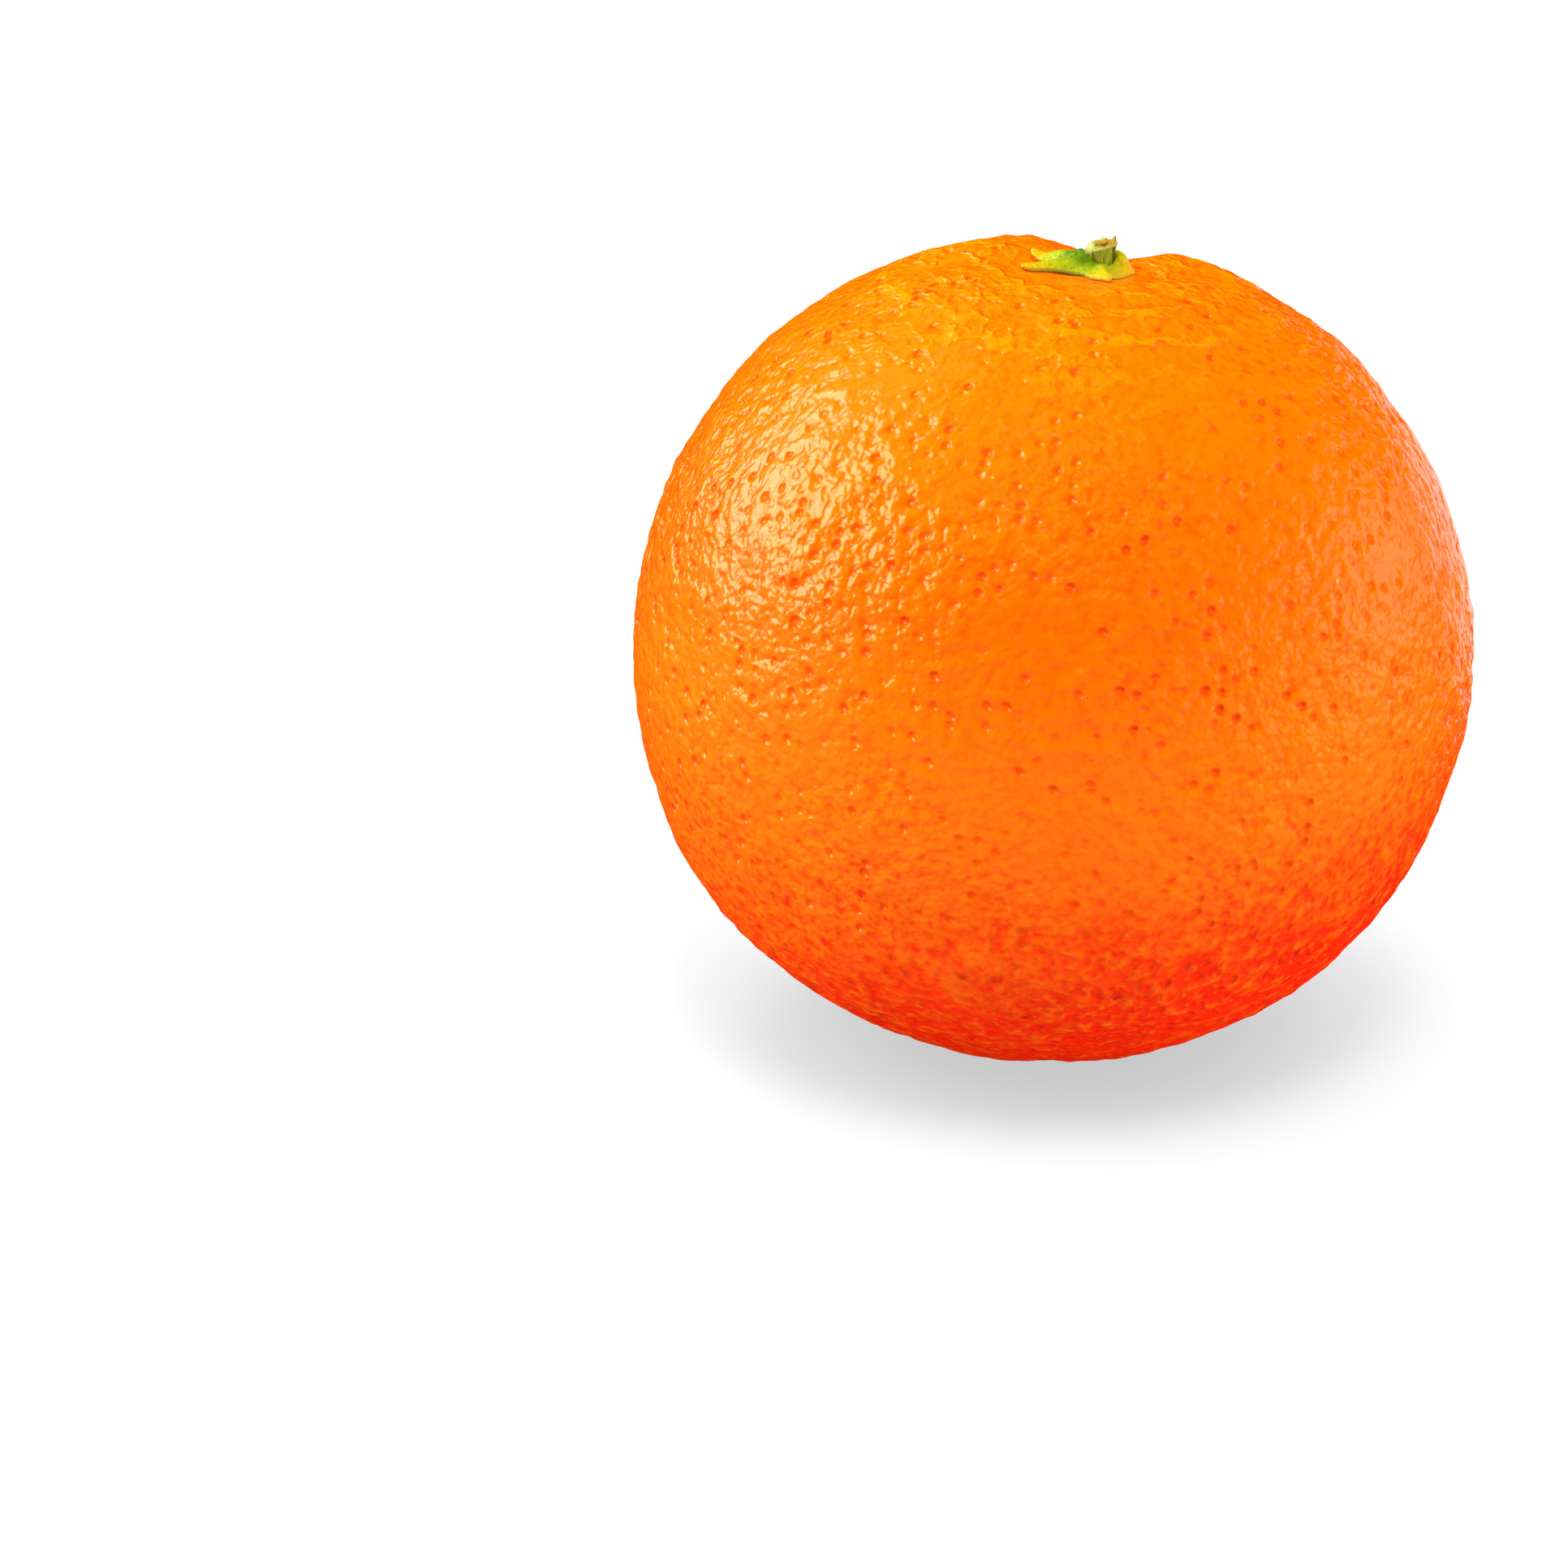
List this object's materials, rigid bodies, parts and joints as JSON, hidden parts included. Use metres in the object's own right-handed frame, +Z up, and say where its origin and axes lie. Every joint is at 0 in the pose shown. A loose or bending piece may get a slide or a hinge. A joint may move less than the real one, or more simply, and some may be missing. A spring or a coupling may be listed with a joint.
{
  "type": "orange",
  "caption": "Whole ripe sweet orange with pitted waxy peel, a green star-shaped calyx and a cut stalk in its stem basin, resting on a small flat spot.",
  "frame": {"origin": "on the surface the fruit rests on, under the middle of its bounding box, inside the small flat spot", "axes": "+Z up from the rest surface; the stem axis leans 5.4 degrees from +Z towards +X; +Y points away from the side that is seen first"},
  "size_m": [0.0798, 0.0802, 0.0779],
  "materials": {
    "peel": "satin",
    "calyx": "satin",
    "stalk": "matte"
  },
  "bodies": {
    "root": {"fruit": "peel", "calyx": "calyx", "stalk": "stalk"}
  },
  "joints": []
}
